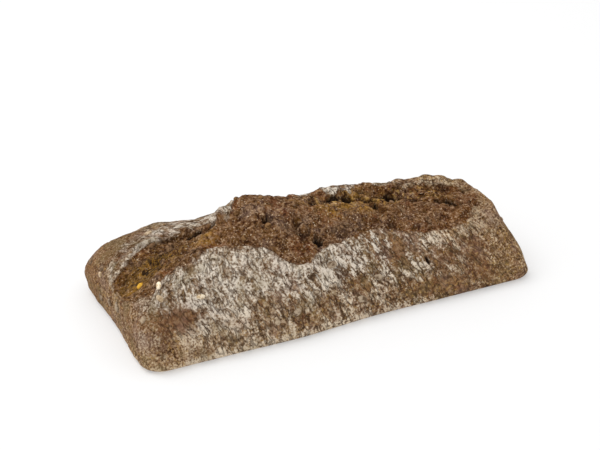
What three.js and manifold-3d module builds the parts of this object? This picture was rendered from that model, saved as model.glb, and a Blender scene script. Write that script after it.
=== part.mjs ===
// Whole grain roll: a dark rectangular roll with a flat base and floury crust walls that lean in.
// Its top has burst open along the whole length, between a front lip and a back lip of crust,
// and shows the coarse crumb; at the left end the opening runs down as a groove.
// Millimetres. X runs along the roll, Y from its front to its back, Z up from the base.

import * as THREE from 'three';
import { mergeGeometries, mergeVertices } from 'three/addons/utils/BufferGeometryUtils.js';
import Module from 'manifold-3d';

// Mesh of the roll: cells along it, across it and up its walls.
const CELLS_ALONG = 72;
const CELLS_ACROSS = 30;
const CELLS_UP = 12;
const FOOT_CELLS = 2;

// Plan of the foot: distance of its edge from the middle, for the left end as [v, distance] across the roll
// and for the sides as [x, distance].
const LEFT_FOOT = [[-1, 84.8], [-0.5, 84], [0.1, 83], [0.6, 83.4], [1, 83.4]];
const RIGHT_FOOT = 84.8;
const FRONT_FOOT = [[-85, 39.6], [-50, 40], [-21, 40.5], [11, 38.6], [43, 38.8], [85, 39]];
const BACK_FOOT = [[-85, 33.7], [-60, 35], [-30, 35.5], [20, 35], [85, 32.5]];
const FOOT_HALF_LENGTH = 85;
const PLAN_CORNER = 8.5;
const FOOT_RADIUS = 2.6;

// Heights along the burst top as [x, z]: the two lips, the crests behind them and the crevice between the crests.
const LIP_HALF_LENGTH = 74;
const FRONT_LIP = [[-85, 21], [-76, 23.4], [-70, 28.8], [-63, 32.2], [-55, 33.8], [-40, 33.4], [-28, 31], [-20, 25.2],
  [-12, 24.6], [-5, 26.9], [4, 28], [20, 28.5], [36, 25.2], [48, 24.3], [57, 25], [66, 25.9], [74, 26.6], [85, 26]];
const FRONT_CREST = [[-85, 14], [-74, 17], [-60, 25.5], [-50, 29.5], [-30, 38.5], [-22, 39.3], [-8, 37], [6, 34.5],
  [26, 31], [48, 28.8], [66, 26.5], [85, 24]];
const CREVICE = [[-85, 13], [-74, 16], [-60, 24], [-50, 27.5], [-42, 33], [-33, 40.2], [-25, 43], [-14, 39.7],
  [-4, 36], [6, 32.5], [28, 28], [60, 24.5], [74, 24.6], [85, 24]];
const BACK_CREST = [[-85, 17], [-74, 20.5], [-60, 24.5], [-50, 26.5], [-42, 31], [-33, 37], [-25, 38.7], [-15, 36],
  [-2, 34], [10, 33.2], [16, 34.2], [29, 31.2], [42, 29.8], [62, 28.7], [74, 25], [85, 22]];
const BACK_LIP = [[-85, 22], [-76, 24], [-64, 27.2], [-55, 27.2], [-49, 29.3], [-43, 30], [-32, 32.8], [-22, 33],
  [0, 29], [22, 28], [40, 25.8], [60, 24.8], [74, 22.5], [85, 20]];
const ACROSS_AT = [-1, -0.42, 0.04, 0.46, 1];

// Lean of the walls: how far in a wall stands at a height, and how late up the wall the lean sets in.
// The back wall has its lip's distance from the middle, and its lateness, as [x, value].
const FRONT_LEAN = { inset: 12, height: 24, late: 1.9 };
const LEFT_LEAN = { inset: 6, height: 22, late: 5.4 };
const RIGHT_LEAN = { inset: 9.4, height: 25, late: 0.78 };
const BACK_LIP_DISTANCE = [[-85, 14], [-72, 11], [-62, 8.5], [-44, 9.5], [-28, 12], [10, 17], [50, 17], [85, 14]];
const BACK_LATE = [[-85, 4.3], [-73, 5.6], [-62, 7], [-50, 4.8], [-42, 2.6], [-20, 2.5], [0, 3], [85, 3]];

// Bulge of the walls low down, and slow waves of the crust: each as [length along, length up, shift].
const BULGE_HEIGHT = 9;
const BULGE_REACH = 6.5;
const FRONT_BULGE = 1;
const BACK_BULGE = 0.8;
const LEFT_BULGE = 1;
const LEFT_BULGE_FROM = -0.1;
const LEFT_BULGE_TO = 0.3;
const CRUST_WAVE = 0.4;
const WAVE_FULL_HEIGHT = 12;
const SIDE_WAVES = [[5.3, 6.1, 0], [9.7, -4.3, 2]];
const END_WAVES = [[7.3, 5.1, 1]];

// Relief of the crumb: lumps all over it as waves of [length along, length across, shift, share],
// a step down inside the lips, and the torn holes as [x, y, reach along, reach across, depth].
const LUMP_HEIGHT = 0.75;
const LUMP_WAVES = [[1.9, 1.7, 3.3, 0.5], [1.9, -1.7, 2.5, 0.5], [2.7, -2.1, 2.1, 0.7], [3.9, 1.4, 0, 0.6]];
const LIP_STEP = 1;
const LIP_STEP_WIDTH = 0.07;
const CRUMB_EDGE = 0.14;
const HOLES = [[-76.5, 0.9, 2.5, 1.6, 1.8], [-48.5, -0.3, 4.5, 1.6, 3], [-44.1, -3.8, 3, 1.6, 2.5],
  [-23.2, -12.4, 2, 1.6, 3], [-5.2, -21.7, 2.2, 1.2, 2], [12.5, 3.6, 3, 2, 3], [18, 2, 2.5, 1.8, 2.5],
  [28.6, 0.6, 2.5, 1.8, 2.5], [35.9, 2.2, 4, 2.2, 3.5], [46.1, -4, 1.8, 1.5, 2], [60, -6.3, 4.5, 2, 3.5],
  [68.4, -15, 2, 1.5, 2]];

// Grains and flakes stuck in the crust and the crumb: half sizes [along, across, thick] and how deep each is sunk.
const GRAIN_KINDS = [
  { half: [1.9, 1.3, 0.6], sunk: 0.4 },
  { half: [1.25, 1.15, 1.05], sunk: 0.5 },
  { half: [1.9, 1.05, 0.85], sunk: 0.5 },
];
const FLAKE = 0;
const GRIT = 1;
const KERNEL = 2;
// Grains in known places, as [kind, along, across, up] on the roll's box from -1 to 1, and 0 to 1 up the wall.
const SET_GRAINS = [[GRIT, -0.905, -0.44, 1], [KERNEL, -0.935, -1, 0.93], [FLAKE, -0.902, -1, 0.807],
  [KERNEL, -0.698, -1, 0.697], [FLAKE, -1, -0.94, 0.78], [FLAKE, -1, 0.45, 0.782], [FLAKE, -0.8, 1, 0.93],
  [GRIT, -0.92, -1, 0.311], [FLAKE, -0.377, -1, 0.395]];
const TOP_GRAINS = 22;
const WALL_GRAINS = 20;
const TOP_MARGIN = 0.88;
const WALL_LOW = 0.3;
const WALL_HIGH = 0.92;
const SIZE_SPREAD = 0.3;
const PROBE_HEIGHT = 4;
const NORMAL_STEP = 0.01;
// Steps of an even two-way sequence that never repeats.
const STEP_A = 0.7548776662466927;
const STEP_B = 0.5698402909980532;
const STEP_C = 0.6180339887498949;

const { clamp, smoothstep } = THREE.MathUtils;

// A smooth line through [position, value] stations.
function smoothLine(stations, at) {
  const last = stations.length - 1;
  let i = 0;
  while (i < last - 1 && at >= stations[i + 1][0]) i++;
  const slope = (k) => {
    const before = stations[Math.max(k - 1, 0)];
    const after = stations[Math.min(k + 1, last)];
    return (after[1] - before[1]) / (after[0] - before[0]);
  };
  const [from, start] = stations[i];
  const [to, end] = stations[i + 1];
  const span = to - from;
  const t = clamp((at - from) / span, 0, 1);
  const s = 1 - t;
  return (1 + 2 * t) * s * s * start + t * s * s * span * slope(i)
    + t * t * (3 - 2 * t) * end - t * t * s * span * slope(i + 1);
}

// Height of the top without its crumb: a smooth line from the front lip over both crests to the back lip.
function topHeight(u, v) {
  const x = u * LIP_HALF_LENGTH;
  const lines = [FRONT_LIP, FRONT_CREST, CREVICE, BACK_CREST, BACK_LIP];
  return smoothLine(lines.map((line, i) => [ACROSS_AT[i], smoothLine(line, x)]), v);
}

function bulgeAt(z) {
  return Math.exp(-(((z - BULGE_HEIGHT) / BULGE_REACH) ** 2));
}

// Slow waves of the crust, from nothing at the foot; each wall has its own.
function crustWave(waves, along, z, wall) {
  const swing = waves.reduce((sum, [length, rise, shift]) => sum + Math.sin(along / length + z / rise + shift * wall), 0);
  return CRUST_WAVE * smoothstep(z, FOOT_RADIUS, WAVE_FULL_HEIGHT) * swing;
}

function leanIn(lean, z) {
  return lean.inset * (z / lean.height) ** lean.late;
}

// How far in the front or back wall stands at height z.
function sideInset(u, v, z, lip) {
  const x = u * FOOT_HALF_LENGTH;
  const wave = crustWave(SIDE_WAVES, x, z, v);
  if (v < 0) return leanIn(FRONT_LEAN, z) - FRONT_BULGE * bulgeAt(z) + wave;
  const atLip = smoothLine(BACK_FOOT, x) - smoothLine(BACK_LIP_DISTANCE, x);
  return atLip * (z / lip) ** smoothLine(BACK_LATE, x) - BACK_BULGE * bulgeAt(z) + wave;
}

// How far in the left or right end stands at height z.
function endInset(u, v, z) {
  const wave = crustWave(END_WAVES, v * FRONT_FOOT[0][1], z, u);
  if (u < 0) return leanIn(LEFT_LEAN, z) - LEFT_BULGE * smoothstep(v, LEFT_BULGE_FROM, LEFT_BULGE_TO) * bulgeAt(z) + wave;
  return leanIn(RIGHT_LEAN, z) + wave;
}

// Lumps, lip step and holes of the crumb, from 0 at the lips.
function crumbRelief(u, v, x, y) {
  const inner = Math.min(1 - Math.abs(v), (1 - Math.abs(u)) * LIP_HALF_LENGTH / FRONT_FOOT[0][1]);
  const lump = LUMP_WAVES.reduce(
    (sum, [along, across, shift, share]) => sum + share * Math.sin(x / along + y / across + shift), 0);
  const t = inner / LIP_STEP_WIDTH;
  let relief = LUMP_HEIGHT * lump * smoothstep(inner, 0, CRUMB_EDGE) - LIP_STEP * t * Math.exp(1 - t);
  for (const [hx, hy, along, across, depth] of HOLES) {
    relief -= depth * Math.exp(-(((x - hx) / along) ** 2) - ((y - hy) / across) ** 2);
  }
  return relief;
}

// A point of the roll from a point of its box: u along and v across from -1 to 1, q up the walls from 0 to 1.
// On the base q is 0, on the burst top 1.
function rollPoint(u, v, q) {
  const footShare = FOOT_CELLS / CELLS_UP;
  const turn = clamp(q / footShare, 0, 1) * Math.PI / 2;
  const rise = clamp((q - footShare) / (1 - footShare), 0, 1);
  const heightUnder = (lip) => FOOT_RADIUS * (1 - Math.cos(turn)) + rise * (lip - FOOT_RADIUS);
  const footInset = FOOT_RADIUS * (1 - Math.sin(turn));
  const sideLip = topHeight(u, v < 0 ? -1 : 1);
  const endLip = topHeight(u < 0 ? -1 : 1, v);

  // Plan: a rectangle with these insets and rounded corners.
  const foot = smoothLine(v < 0 ? FRONT_FOOT : BACK_FOOT, u * FOOT_HALF_LENGTH);
  const halfLength = (u < 0 ? smoothLine(LEFT_FOOT, v) : RIGHT_FOOT) - endInset(u, v, heightUnder(endLip)) - footInset;
  const halfWidth = foot - sideInset(u, v, heightUnder(sideLip), sideLip) - footInset;
  const along = Math.abs(u) * halfLength;
  const across = Math.abs(v) * halfWidth;
  const overX = Math.max(along - (halfLength - PLAN_CORNER), 0);
  const overY = Math.max(across - (halfWidth - PLAN_CORNER), 0);
  const over = Math.hypot(overX, overY);
  const pull = over > 0 ? Math.max(overX, overY) / over : 1;
  const x = Math.sign(u) * (along - overX + overX * pull);
  const y = Math.sign(v) * (across - overY + overY * pull);

  let z = heightUnder(topHeight(u, v));
  if (q === 1) z += crumbRelief(u, v, x, y);
  return new THREE.Vector3(x, y, z);
}

// Outward direction of the roll's surface at a point of its box.
function rollNormal(u, v, q) {
  const step = NORMAL_STEP;
  const slide = (du, dv, dq) => rollPoint(u + du, v + dv, q + dq).sub(rollPoint(u - du, v - dv, q - dq));
  if (q === 1) return slide(step, 0, 0).cross(slide(0, step, 0)).normalize();
  const around = Math.abs(v) === 1 ? slide(-Math.sign(v) * step, 0, 0) : slide(0, Math.sign(u) * step, 0);
  return around.cross(slide(0, 0, step)).normalize();
}

const wasm = await Module();
wasm.setup();

function toSolid(geometry) {
  const bare = geometry.clone();
  bare.deleteAttribute('normal');
  bare.deleteAttribute('uv');
  const merged = mergeVertices(bare, 1e-5);
  return new wasm.Manifold(new wasm.Mesh({
    numProp: 3,
    vertProperties: new Float32Array(merged.attributes.position.array),
    triVerts: new Uint32Array(merged.index.array),
  }));
}

function toGeometry(solid) {
  const mesh = solid.getMesh();
  const geometry = new THREE.BufferGeometry();
  geometry.setAttribute('position', new THREE.BufferAttribute(new Float32Array(mesh.vertProperties), 3));
  geometry.setIndex(new THREE.BufferAttribute(new Uint32Array(mesh.triVerts), 1));
  return geometry;
}

// The walls and the burst top: a box of small cells, without its underside, drawn out into the roll.
function makeCrust() {
  const box = new THREE.BoxGeometry(2, 2, 1, CELLS_ALONG, CELLS_ACROSS, CELLS_UP);
  const position = box.attributes.position;
  for (let i = 0; i < position.count; i++) {
    const u = Math.round((position.getX(i) + 1) * CELLS_ALONG / 2) * 2 / CELLS_ALONG - 1;
    const v = Math.round((position.getY(i) + 1) * CELLS_ACROSS / 2) * 2 / CELLS_ACROSS - 1;
    const q = Math.round((position.getZ(i) + 0.5) * CELLS_UP) / CELLS_UP;
    position.setXYZ(i, ...rollPoint(u, v, q));
  }
  const underside = box.groups[box.groups.length - 1];
  box.setIndex([...box.index.array.slice(0, underside.start)]);
  box.clearGroups();
  return box;
}

// The base: a flat fan from the middle to the foot's outline, facing down.
function makeBase() {
  const ring = [];
  for (let i = 0; i < CELLS_ALONG; i++) ring.push([2 * i / CELLS_ALONG - 1, -1]);
  for (let i = 0; i < CELLS_ACROSS; i++) ring.push([1, 2 * i / CELLS_ACROSS - 1]);
  for (let i = 0; i < CELLS_ALONG; i++) ring.push([1 - 2 * i / CELLS_ALONG, 1]);
  for (let i = 0; i < CELLS_ACROSS; i++) ring.push([-1, 1 - 2 * i / CELLS_ACROSS]);
  const base = new THREE.CircleGeometry(1, ring.length);
  const position = base.attributes.position;
  for (let i = 1; i < position.count; i++) position.setXYZ(i, ...rollPoint(...ring[(i - 1) % ring.length], 0));
  base.setIndex([...base.index.array].reverse());
  return base;
}

// One grain, pressed into the loaf's face under a point of its box and turned about that face's direction.
function makeGrain(loaf, kind, u, v, q, spin, size) {
  const { half, sunk } = GRAIN_KINDS[kind];
  const outward = rollNormal(u, v, q);
  const above = rollPoint(u, v, q).addScaledVector(outward, PROBE_HEIGHT);
  const [under] = new THREE.Raycaster(above, outward.negate()).intersectObject(loaf);
  const normal = under.face.normal;
  const place = under.point.addScaledVector(normal, half[2] * size * (1 - 2 * sunk));
  const lie = new THREE.Quaternion().setFromUnitVectors(new THREE.Vector3(0, 0, 1), normal);
  lie.multiply(new THREE.Quaternion().setFromAxisAngle(new THREE.Vector3(0, 0, 1), spin));
  const grain = new THREE.IcosahedronGeometry(1, 0);
  grain.applyMatrix4(new THREE.Matrix4().compose(place, lie, new THREE.Vector3(...half).multiplyScalar(size)));
  return grain;
}

// A point of the box's outline, from a share of the way around the walls that starts at the front's left corner.
function aroundWalls(share) {
  const length = LEFT_FOOT[0][1] + RIGHT_FOOT;
  const width = FRONT_FOOT[0][1] + BACK_FOOT[0][1];
  const front = share * 2 * (length + width);
  if (front < length) return [2 * front / length - 1, -1];
  const right = front - length;
  if (right < width) return [1, 2 * right / width - 1];
  const back = right - width;
  if (back < length) return [1 - 2 * back / length, 1];
  return [-1, 1 - 2 * (back - length) / width];
}

// All grains: those in known places, then an even spread over the crumb and around the walls.
function makeGrains(loaf) {
  const grains = SET_GRAINS.map(([kind, u, v, q], i) => makeGrain(loaf, kind, u, v, q, i, 1));
  const part = (i, step) => (0.5 + i * step) % 1;
  for (let i = 1; i <= TOP_GRAINS + WALL_GRAINS; i++) {
    const a = part(i, STEP_A);
    const b = part(i, STEP_B);
    const spin = 2 * Math.PI * part(i, STEP_C);
    const size = 1 + SIZE_SPREAD * (part(i, STEP_C + STEP_B) - 0.5);
    const kind = i % 2 === 0 ? FLAKE : i % 4 === 1 ? GRIT : KERNEL;
    if (i <= TOP_GRAINS) {
      grains.push(makeGrain(loaf, kind, TOP_MARGIN * (2 * a - 1), TOP_MARGIN * (2 * b - 1), 1, spin, size));
      continue;
    }
    const q = WALL_LOW + (WALL_HIGH - WALL_LOW) * b;
    const [u, v] = aroundWalls(a);
    grains.push(makeGrain(loaf, kind, u, v, q, spin, size));
  }
  return grains;
}

let roll = toSolid(mergeGeometries([makeCrust(), makeBase()]));
for (const grain of makeGrains(new THREE.Mesh(toGeometry(roll)))) roll = roll.add(toSolid(grain));

// The origin is under the middle of the roll, on its base.
const rollGeometry = toGeometry(roll);
rollGeometry.computeBoundingBox();
const middle = rollGeometry.boundingBox.getCenter(new THREE.Vector3());
rollGeometry.translate(-middle.x, -middle.y, -rollGeometry.boundingBox.min.z);

const rollMesh = new THREE.Mesh(
  rollGeometry,
  new THREE.MeshStandardMaterial({ color: 0x87705a, roughness: 0.92, metalness: 0 }),
);
rollMesh.name = 'roll';

const wholeGrainRoll = new THREE.Group();
wholeGrainRoll.name = 'whole_grain_roll';
wholeGrainRoll.add(rollMesh);

export default wholeGrainRoll;
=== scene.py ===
"""A whole grain roll: floury crust walls round a top that has burst open over dark, coarse crumb."""

import bmesh
import bpy
import numpy as np
from mathutils import Matrix, Vector


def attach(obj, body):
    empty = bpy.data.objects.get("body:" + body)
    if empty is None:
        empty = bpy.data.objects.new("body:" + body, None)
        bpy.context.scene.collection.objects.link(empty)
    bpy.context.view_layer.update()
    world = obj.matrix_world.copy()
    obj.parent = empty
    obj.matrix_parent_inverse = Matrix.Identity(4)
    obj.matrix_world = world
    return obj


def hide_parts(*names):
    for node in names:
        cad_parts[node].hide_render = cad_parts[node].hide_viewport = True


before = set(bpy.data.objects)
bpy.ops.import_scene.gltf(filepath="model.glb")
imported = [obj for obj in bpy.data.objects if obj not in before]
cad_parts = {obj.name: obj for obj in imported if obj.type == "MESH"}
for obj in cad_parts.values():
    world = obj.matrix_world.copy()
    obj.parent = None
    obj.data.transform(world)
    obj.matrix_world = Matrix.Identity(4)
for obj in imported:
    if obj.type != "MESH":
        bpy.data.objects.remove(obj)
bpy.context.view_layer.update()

# The loaf. One piece of dense whole grain dough, cut as a rectangle, dusted with flour and baked on its flat
# base. In the oven the top tore open along its length: two lips of crust stand round a rough burst of crumb.
# All its sizes are millimetres, measured from a point on the base; MIDDLE is the middle of its box there.
MIDDLE = np.array([-0.622, -2.281, 0.0])
CELLS_ALONG = 320
CELLS_ACROSS = 100
CELLS_UP = 64

# Foot: how far each end and side stands out at the base, by the share across or by the place along.
LEFT_FOOT = [(-1, 84.8), (-0.5, 84), (0.1, 83), (0.6, 83.4), (1, 83.4)]
RIGHT_FOOT = 84.8
FRONT_FOOT = [(-85, 39.6), (-50, 40), (-21, 40.5), (11, 38.6), (43, 38.8), (85, 39)]
BACK_FOOT = [(-85, 33.7), (-60, 35), (-30, 35.5), (20, 35), (85, 32.5)]
FOOT_HALF_LENGTH = 85
PLAN_CORNER = 8.5
FOOT_RADIUS = 2.6
FOOT_SHARE = 1 / 6

# Burst top: heights by the place along, on five lines from the front lip over both crests to the back lip.
LIP_HALF_LENGTH = 74
FRONT_LIP = [(-85, 21), (-76, 23.4), (-70, 28.8), (-63, 32.2), (-55, 33.8), (-40, 33.4), (-28, 31),
             (-20, 25.2), (-12, 24.6), (-5, 26.9), (4, 28), (20, 28.5), (36, 25.2), (48, 24.3), (57, 25),
             (66, 25.9), (74, 26.6), (85, 26)]
FRONT_CREST = [(-85, 14), (-74, 17), (-60, 25.5), (-50, 29.5), (-30, 38.5), (-22, 39.3), (-8, 37), (6, 34.5),
               (26, 31), (48, 28.8), (66, 26.5), (85, 24)]
CREVICE = [(-85, 13), (-74, 16), (-60, 24), (-50, 27.5), (-42, 33), (-33, 40.2), (-25, 43), (-14, 39.7),
           (-4, 36), (6, 32.5), (28, 28), (60, 24.5), (74, 24.6), (85, 24)]
BACK_CREST = [(-85, 17), (-74, 20.5), (-60, 24.5), (-50, 26.5), (-42, 31), (-33, 37), (-25, 38.7), (-15, 36),
              (-2, 34), (10, 33.2), (16, 34.2), (29, 31.2), (42, 29.8), (62, 28.7), (74, 25), (85, 22)]
BACK_LIP = [(-85, 22), (-76, 24), (-64, 27.2), (-55, 27.2), (-49, 29.3), (-43, 30), (-32, 32.8), (-22, 33),
            (0, 29), (22, 28), (40, 25.8), (60, 24.8), (74, 22.5), (85, 20)]
TOP_LINES = (FRONT_LIP, FRONT_CREST, CREVICE, BACK_CREST, BACK_LIP)
ACROSS_AT = np.array([-1, -0.42, 0.04, 0.46, 1])

# Walls: how far in each leans, at which height, and how late on the way up. The back one leans in, as late as
# BACK_LATE says, until its lip stands BACK_LIP_DISTANCE behind the middle line. The front, the back and the
# back half of the left end bulge a little above the foot. All the walls are slightly wavy.
FRONT_LEAN = (12, 24, 1.9)
LEFT_LEAN = (6, 22, 5.4)
RIGHT_LEAN = (9.4, 25, 0.78)
BACK_LIP_DISTANCE = [(-85, 14), (-72, 11), (-62, 8.5), (-44, 9.5), (-28, 12), (10, 17), (50, 17), (85, 14)]
BACK_LATE = [(-85, 4.3), (-73, 5.6), (-62, 7), (-50, 4.8), (-42, 2.6), (-20, 2.5), (0, 3), (85, 3)]
BULGE_HEIGHT = 9
BULGE_REACH = 6.5
BACK_BULGE = 0.8
LEFT_BULGE_ACROSS = (-0.1, 0.3)
CRUST_WAVE = 0.4
CRUST_WAVE_FULL = 12
SIDE_WAVES = [(5.3, 6.1, 0), (9.7, -4.3, 2)]
END_WAVE = (7.3, 5.1)


def ease(low, high, value):
    """0 up to low, 1 from high on, smooth between. Low may be the greater of the two."""
    t = np.clip((value - low) / (high - low), 0, 1)
    return t * t * (3 - 2 * t)


def swell(value, middle, reach):
    """1 in the middle, falling off softly over the reach to both sides."""
    return np.exp(-((value - middle) / reach) ** 2)


def soft_spot(first, second, middle, reach):
    """1 in the middle of a round or long spot, falling off softly over its two reaches."""
    return np.exp(-((first - middle[0]) / reach[0]) ** 2 - ((second - middle[1]) / reach[1]) ** 2)


def station_slopes(spots, values):
    """The slope of a smooth line at each of its stations, taken from the stations beside it."""
    before = np.maximum(np.arange(len(spots)) - 1, 0)
    after = np.minimum(np.arange(len(spots)) + 1, len(spots) - 1)
    return ((values[after] - values[before]).T / (spots[after] - spots[before])).T


def span_at(spots, at):
    """Which span between stations a place lies in, how long that span is, and the share of it passed."""
    i = np.clip(np.searchsorted(spots, at, side="right") - 1, 0, len(spots) - 2)
    span = spots[i + 1] - spots[i]
    return i, span, np.clip((at - spots[i]) / span, 0, 1)


def hermite(t, span, start, start_slope, end, end_slope):
    """A curve over one span from its values and slopes at both ends, at share t of the span."""
    s = 1 - t
    return ((1 + 2 * t) * s * s * start + t * s * s * span * start_slope
            + t * t * (3 - 2 * t) * end - t * t * s * span * end_slope)


def smooth_line(stations, at):
    """A smooth line through stations of place and value."""
    spots, values = np.array(stations, float).T
    slopes = station_slopes(spots, values)
    i, span, t = span_at(spots, at)
    return hermite(t, span, values[i], slopes[i], values[i + 1], slopes[i + 1])


def top_height(u, v):
    """Height of the burst top without its crumb, from the front lip over both crests to the back lip."""
    values = np.stack([smooth_line(line, u * LIP_HALF_LENGTH) for line in TOP_LINES])
    slopes = station_slopes(ACROSS_AT, values)
    i, span, t = span_at(ACROSS_AT, v)
    here = np.arange(len(u))
    return hermite(t, span, values[i, here], slopes[i, here], values[i + 1, here], slopes[i + 1, here])


def crust_wave(z, swing):
    """A slight wave of the walls that grows from the foot up."""
    return CRUST_WAVE * ease(FOOT_RADIUS, CRUST_WAVE_FULL, z) * swing


def lean_in(lean, z):
    """How far in a wall leans at height z."""
    inset, height, late = lean
    return inset * (z / height) ** late


def bulge(z):
    """How far a wall bulges out at height z."""
    return swell(z, BULGE_HEIGHT, BULGE_REACH)


def side_inset(u, v, z, lip):
    """How far in the front or back wall stands at height z."""
    x = u * FOOT_HALF_LENGTH
    wave = crust_wave(z, sum(np.sin(x / a + z / b + turn * v) for a, b, turn in SIDE_WAVES))
    at_lip = smooth_line(BACK_FOOT, x) - smooth_line(BACK_LIP_DISTANCE, x)
    back = at_lip * (z / lip) ** smooth_line(BACK_LATE, x) - BACK_BULGE * bulge(z)
    return np.where(v < 0, lean_in(FRONT_LEAN, z) - bulge(z), back) + wave


def end_inset(u, v, z):
    """How far in the left or right end stands at height z."""
    wave = crust_wave(z, np.sin(v * FRONT_FOOT[0][1] / END_WAVE[0] + z / END_WAVE[1] + u))
    left = lean_in(LEFT_LEAN, z) - ease(*LEFT_BULGE_ACROSS, v) * bulge(z)
    return np.where(u < 0, left, lean_in(RIGHT_LEAN, z)) + wave


def loaf_points(u, v, q):
    """Points of the loaf from its box: u along and v across from -1 to 1, q up the walls from 0, 1 on top."""
    turn = np.clip(q / FOOT_SHARE, 0, 1) * np.pi / 2
    rise = np.clip((q - FOOT_SHARE) / (1 - FOOT_SHARE), 0, 1)
    foot_inset = FOOT_RADIUS * (1 - np.sin(turn))

    def height_under(lip):
        return FOOT_RADIUS * (1 - np.cos(turn)) + rise * (lip - FOOT_RADIUS)

    side_lip = top_height(u, np.where(v < 0, -1.0, 1.0))
    end_lip = top_height(np.where(u < 0, -1.0, 1.0), v)
    x_foot = u * FOOT_HALF_LENGTH
    end_foot = np.where(u < 0, smooth_line(LEFT_FOOT, v), RIGHT_FOOT)
    side_foot = np.where(v < 0, smooth_line(FRONT_FOOT, x_foot), smooth_line(BACK_FOOT, x_foot))
    half_length = end_foot - end_inset(u, v, height_under(end_lip)) - foot_inset
    half_width = side_foot - side_inset(u, v, height_under(side_lip), side_lip) - foot_inset
    along = np.abs(u) * half_length
    across = np.abs(v) * half_width
    over_x = np.maximum(along - (half_length - PLAN_CORNER), 0)
    over_y = np.maximum(across - (half_width - PLAN_CORNER), 0)
    over = np.hypot(over_x, over_y)
    in_corner = over > 0
    pull = np.where(in_corner, np.maximum(over_x, over_y) / np.where(in_corner, over, 1), 1)
    x = np.sign(u) * (along - over_x + over_x * pull)
    y = np.sign(v) * (across - over_y + over_y * pull)
    return np.stack([x, y, height_under(top_height(u, v))], -1)


def outline(count_along, count_across):
    """The box's outline from its front left corner, round by the right end."""
    along = np.linspace(-1, 1, count_along + 1)[:-1]
    across = np.linspace(-1, 1, count_across + 1)[:-1]
    u = np.concatenate([along, np.ones(count_across), -along, -np.ones(count_across)])
    v = np.concatenate([-np.ones(count_along), across, np.ones(count_along), -across])
    return u, v


# Points: a grid over the top, then rings round the walls from the foot up to just under the lips.
grid_along = np.linspace(-1, 1, CELLS_ALONG + 1)
grid_across = np.linspace(-1, 1, CELLS_ACROSS + 1)
grid_u, grid_v = np.meshgrid(grid_along, grid_across, indexing="ij")
ring_u, ring_v = outline(CELLS_ALONG, CELLS_ACROSS)
ring_size = len(ring_u)
top_count = grid_u.size
rows = np.arange(CELLS_UP) / CELLS_UP
loaf_u = np.concatenate([grid_u.ravel(), np.tile(ring_u, CELLS_UP)])
loaf_v = np.concatenate([grid_v.ravel(), np.tile(ring_v, CELLS_UP)])
loaf_q = np.concatenate([np.ones(top_count), np.repeat(rows, ring_size)])
on_top = np.arange(len(loaf_u)) < top_count
points = loaf_points(loaf_u, loaf_v, loaf_q)
x, y, z = points.T

# How far inside the torn edge a point of the top lies, or, below zero, how far out on the crust.
# The crust reaches over the back lip up to BACK_EDGE, shares of the half width by the place along the loaf,
# and over the right end by RIGHT_EDGE, millimetres by the share across. At the spill the crumb hangs a little
# over the front lip. The widths turn shares across the top and up the wall into millimetres.
BACK_EDGE = [(-85, 0.1), (-79, 0.27), (-74, 0.57), (-70, 0.87), (-62, 0.9), (-56, 0.97), (-47, 1), (-42.6, 0),
             (-38.5, -0.14), (-34, -0.1), (-30, 0.4), (-26, 0.95), (-20, 1), (6, 0.9), (11, 0.42), (17, 0.26),
             (22, 0.32), (27, 0.62), (33, 0.5), (45, 0.4), (58, 0.33), (64, 0.27), (69.5, 0.2), (73, -0.15),
             (80, -0.4)]
RIGHT_EDGE = [(-1, 17.5), (-0.9, 15), (-0.72, 9.5), (-0.55, 4), (-0.15, 2), (0.3, 3), (1, 6)]
SPILL_AT = -60
SPILL_REACH = 7
SPILL_ACROSS = (-10, -16)
SPILL_MOST = 1.8
FRONT_HALF_WIDTH = 22
BACK_HALF_WIDTH = 16
WALL_WAY = 30
spill = SPILL_MOST * swell(x, SPILL_AT, SPILL_REACH) * ease(*SPILL_ACROSS, y)
from_front = (1 + loaf_v) * FRONT_HALF_WIDTH + spill
from_back = (smooth_line(BACK_EDGE, x) - loaf_v) * BACK_HALF_WIDTH
from_left = (1 + loaf_u) * LIP_HALF_LENGTH
from_right = (1 - loaf_u) * LIP_HALF_LENGTH - smooth_line(RIGHT_EDGE, loaf_v)
within = np.minimum(np.minimum(from_front, from_back), np.minimum(from_left, from_right))
inside = np.where(on_top, within, spill - (1 - loaf_q) * WALL_WAY)


def cell_noise(places, cell, seed, count=32):
    """Smooth noise from 0 to 1 over cells of that size."""
    table = np.random.default_rng(seed).random((count, count, count))
    places = places / cell
    corner = np.floor(places).astype(int)
    part = places - corner
    part = part * part * (3 - 2 * part)
    total = np.zeros(len(places))
    for step in np.ndindex(2, 2, 2):
        weight = np.where(step, part, 1 - part).prod(-1)
        i, j, k = ((corner + step) % count).T
        total += weight * table[i, j, k]
    return total


def granules(places, cell, seed, count=32):
    """Domes packed like grains of that size: 1 on top of each, 0 in the gaps."""
    centres = np.random.default_rng(seed).random((count, count, count, 3))
    places = places / cell
    corner = np.floor(places).astype(int)
    nearest = np.full(len(places), np.inf)
    for step in np.ndindex(3, 3, 3):
        there = corner + step - np.array([1, 1, 1])
        i, j, k = (there % count).T
        nearest = np.minimum(nearest, ((there + centres[i, j, k] - places) ** 2).sum(-1))
    return 1 - np.minimum(nearest, 1)


def uneven(kind, places, height, cell, seed, middle=0.5):
    """Unevenness of that height and cell size, up and down from its middle."""
    return height * (kind(places, cell, seed) - middle)


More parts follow.
